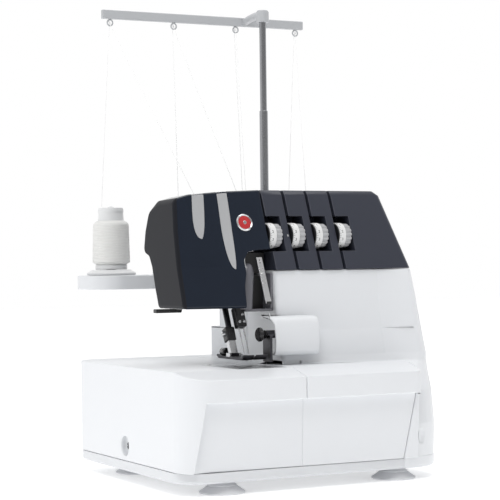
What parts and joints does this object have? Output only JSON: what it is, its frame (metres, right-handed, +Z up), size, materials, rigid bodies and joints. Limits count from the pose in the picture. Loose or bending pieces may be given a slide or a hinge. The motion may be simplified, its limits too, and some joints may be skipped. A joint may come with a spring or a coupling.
{
  "type": "serger overlock machine",
  "caption": "Overlock sewing machine with a light casing, dark face cover and tension housing, tension wheels, fold-down looper cover, thread cones and a telescopic thread stand.",
  "frame": {"origin": "centre of the underside of the bounding box, on the table under the feet", "axes": "+Z up, -Y towards the person sewing, +X towards the handwheel"},
  "size_m": [0.32, 0.316, 0.497],
  "materials": {
    "white_plastic": "satin, cool white",
    "navy_gloss": "polished dark navy",
    "charcoal_plastic": "satin charcoal",
    "grey_gloss": "polished mid grey",
    "light_grey_plastic": "fine-grained light grey",
    "dial_plastic": "satin light grey",
    "black_plastic": "satin black",
    "cast_frame": "as cast",
    "motor_black": "satin black paint",
    "steel": "bright, finely brushed",
    "belt_rubber": "dull",
    "foot_rubber": "dull light grey",
    "thread": "dull white yarn",
    "lamp_glass": "clear"
  },
  "bodies": {
    "machine": {"left_cover": "white_plastic", "front_housing": "white_plastic", "rear_housing": "white_plastic", "base_pan": "white_plastic", "tension_housing": "charcoal_plastic", "face_cover": "navy_gloss", "thread_panel": "grey_gloss", "thread_guide_plate": "steel", "knife_guard": "white_plastic", "frame": "cast_frame", "motor": "motor_black", "drive_belt": "belt_rubber", "presser_spring": "steel", "needle_plate": "steel", "lower_knife": "steel", "lamp_lens": "lamp_glass", "spool_tray": "light_grey_plastic", "spool_holder_1": "white_plastic", "thread_cone_1": "thread", "spool_holder_2": "white_plastic", "thread_cone_2": "thread", "spool_holder_3": "white_plastic", "thread_cone_3": "thread", "spool_holder_4": "white_plastic", "thread_cone_4": "thread", "mast_tube": "steel", "thread_1": "thread", "thread_2": "thread", "thread_3": "thread", "thread_4": "thread", "power_inlet": "black_plastic", "foot_1": "foot_rubber", "foot_2": "foot_rubber", "foot_3": "foot_rubber", "foot_4": "foot_rubber"},
    "looper_door": {"looper_cover": "white_plastic"},
    "drive": {"main_shaft": "steel", "shaft_pulley": "black_plastic", "handwheel": "charcoal_plastic"},
    "motor_rotor": {"motor_pulley": "steel"},
    "needle": {"needle_bar": "steel", "needle_clamp": "black_plastic", "needle_left": "steel", "needle_right": "steel"},
    "lower_looper": {"lower_looper": "steel"},
    "upper_looper": {"upper_looper": "steel"},
    "feed": {"feed_dog": "steel"},
    "upper_knife": {"upper_knife": "black_plastic"},
    "knife_knob": {"knife_knob": "black_plastic"},
    "presser_lever": {"presser_lever": "black_plastic"},
    "presser": {"presser_bar": "steel"},
    "presser_foot": {"presser_foot": "steel"},
    "dial_1": {"tension_dial_1": "dial_plastic"},
    "dial_2": {"tension_dial_2": "dial_plastic"},
    "dial_3": {"tension_dial_3": "dial_plastic"},
    "dial_4": {"tension_dial_4": "dial_plastic"},
    "stitch_dial": {"stitch_dial": "dial_plastic"},
    "power_switch": {"power_switch": "black_plastic"},
    "mast": {"mast_rod": "steel", "guide_bar": "light_grey_plastic"}
  },
  "joints": [
    {"name": "looper_door_hinge", "type": "hinge", "parent": "machine", "child": "looper_door", "pos_m": [0.032, -0.1454, 0.0236], "axis": [1, 0, 0], "range_deg": [0, 80]},
    {"name": "drive_spin", "type": "hinge", "parent": "machine", "child": "drive", "pos_m": [0.092, 0.011, 0.075], "axis": [1, 0, 0], "continuous": true},
    {"name": "motor_spin", "type": "hinge", "parent": "machine", "child": "motor_rotor", "pos_m": [0.112, 0.083, 0.062], "axis": [1, 0, 0], "continuous": true},
    {"name": "needle_slide", "type": "slide", "parent": "machine", "child": "needle", "axis": [0, -0.4067, -0.9135], "range_m": [0, 0.022]},
    {"name": "lower_looper_swing", "type": "hinge", "parent": "machine", "child": "lower_looper", "pos_m": [-0.072, -0.049, 0.05], "axis": [0, 1, 0], "range_deg": [-20, 0]},
    {"name": "upper_looper_swing", "type": "hinge", "parent": "machine", "child": "upper_looper", "pos_m": [-0.016, -0.049, 0.056], "axis": [0, 1, 0], "range_deg": [0, 20]},
    {"name": "feed_slide", "type": "slide", "parent": "machine", "child": "feed", "axis": [0, -1, 0], "range_m": [0, 0.004]},
    {"name": "upper_knife_slide", "type": "slide", "parent": "machine", "child": "upper_knife", "axis": [0, 0, -1], "range_m": [0, 0.006]},
    {"name": "knife_knob_turn", "type": "hinge", "parent": "upper_knife", "child": "knife_knob", "pos_m": [-0.048, -0.095, 0.148], "axis": [1, 0, 0], "range_deg": [0, 90]},
    {"name": "presser_lever_swing", "type": "hinge", "parent": "machine", "child": "presser_lever", "pos_m": [-0.0947, -0.015, 0.186], "axis": [1, 0, 0], "range_deg": [-40, 0]},
    {"name": "presser_slide", "type": "slide", "parent": "machine", "child": "presser", "axis": [0, 0.4067, 0.9135], "range_m": [-0.005, 0], "deforming": ["presser_spring"]},
    {"name": "presser_foot_rock", "type": "hinge", "parent": "presser", "child": "presser_foot", "pos_m": [-0.069, -0.0759, 0.1275], "axis": [1, 0, 0], "range_deg": [-3, 3]},
    {"name": "tension_dial_1_turn", "type": "hinge", "parent": "machine", "child": "dial_1", "pos_m": [-0.0151, -0.0545, 0.246], "axis": [1, 0, 0], "range_deg": [-150, 150]},
    {"name": "tension_dial_2_turn", "type": "hinge", "parent": "machine", "child": "dial_2", "pos_m": [0.0114, -0.0545, 0.246], "axis": [1, 0, 0], "range_deg": [-150, 150]},
    {"name": "tension_dial_3_turn", "type": "hinge", "parent": "machine", "child": "dial_3", "pos_m": [0.0384, -0.0545, 0.246], "axis": [1, 0, 0], "range_deg": [-150, 150]},
    {"name": "tension_dial_4_turn", "type": "hinge", "parent": "machine", "child": "dial_4", "pos_m": [0.0659, -0.0545, 0.246], "axis": [1, 0, 0], "range_deg": [-150, 150]},
    {"name": "stitch_dial_turn", "type": "hinge", "parent": "machine", "child": "stitch_dial", "pos_m": [0.146, -0.047, 0.062], "axis": [1, 0, 0], "range_deg": [-135, 135]},
    {"name": "power_switch_rock", "type": "hinge", "parent": "machine", "child": "power_switch", "pos_m": [0.142, 0.071, 0.045], "axis": [0, 1, 0], "range_deg": [0, 12]},
    {"name": "mast_slide", "type": "slide", "parent": "machine", "child": "mast", "axis": [0, 0, 1], "range_m": [-0.095, 0], "deforming": ["thread_1", "thread_2", "thread_3", "thread_4"]}
  ],
  "couplings": [
    {"joint": "motor_spin", "follows": "drive_spin", "ratio": 2.8889},
    {"joint": "lower_looper_swing", "follows": "needle_slide", "rad_per_m": -15.86},
    {"joint": "upper_looper_swing", "follows": "needle_slide", "rad_per_m": 15.86},
    {"joint": "feed_slide", "follows": "needle_slide", "ratio": 0.1818},
    {"joint": "upper_knife_slide", "follows": "needle_slide", "ratio": 0.2727},
    {"joint": "presser_lever_swing", "follows": "presser_slide", "rad_per_m": 139.6}
  ]
}
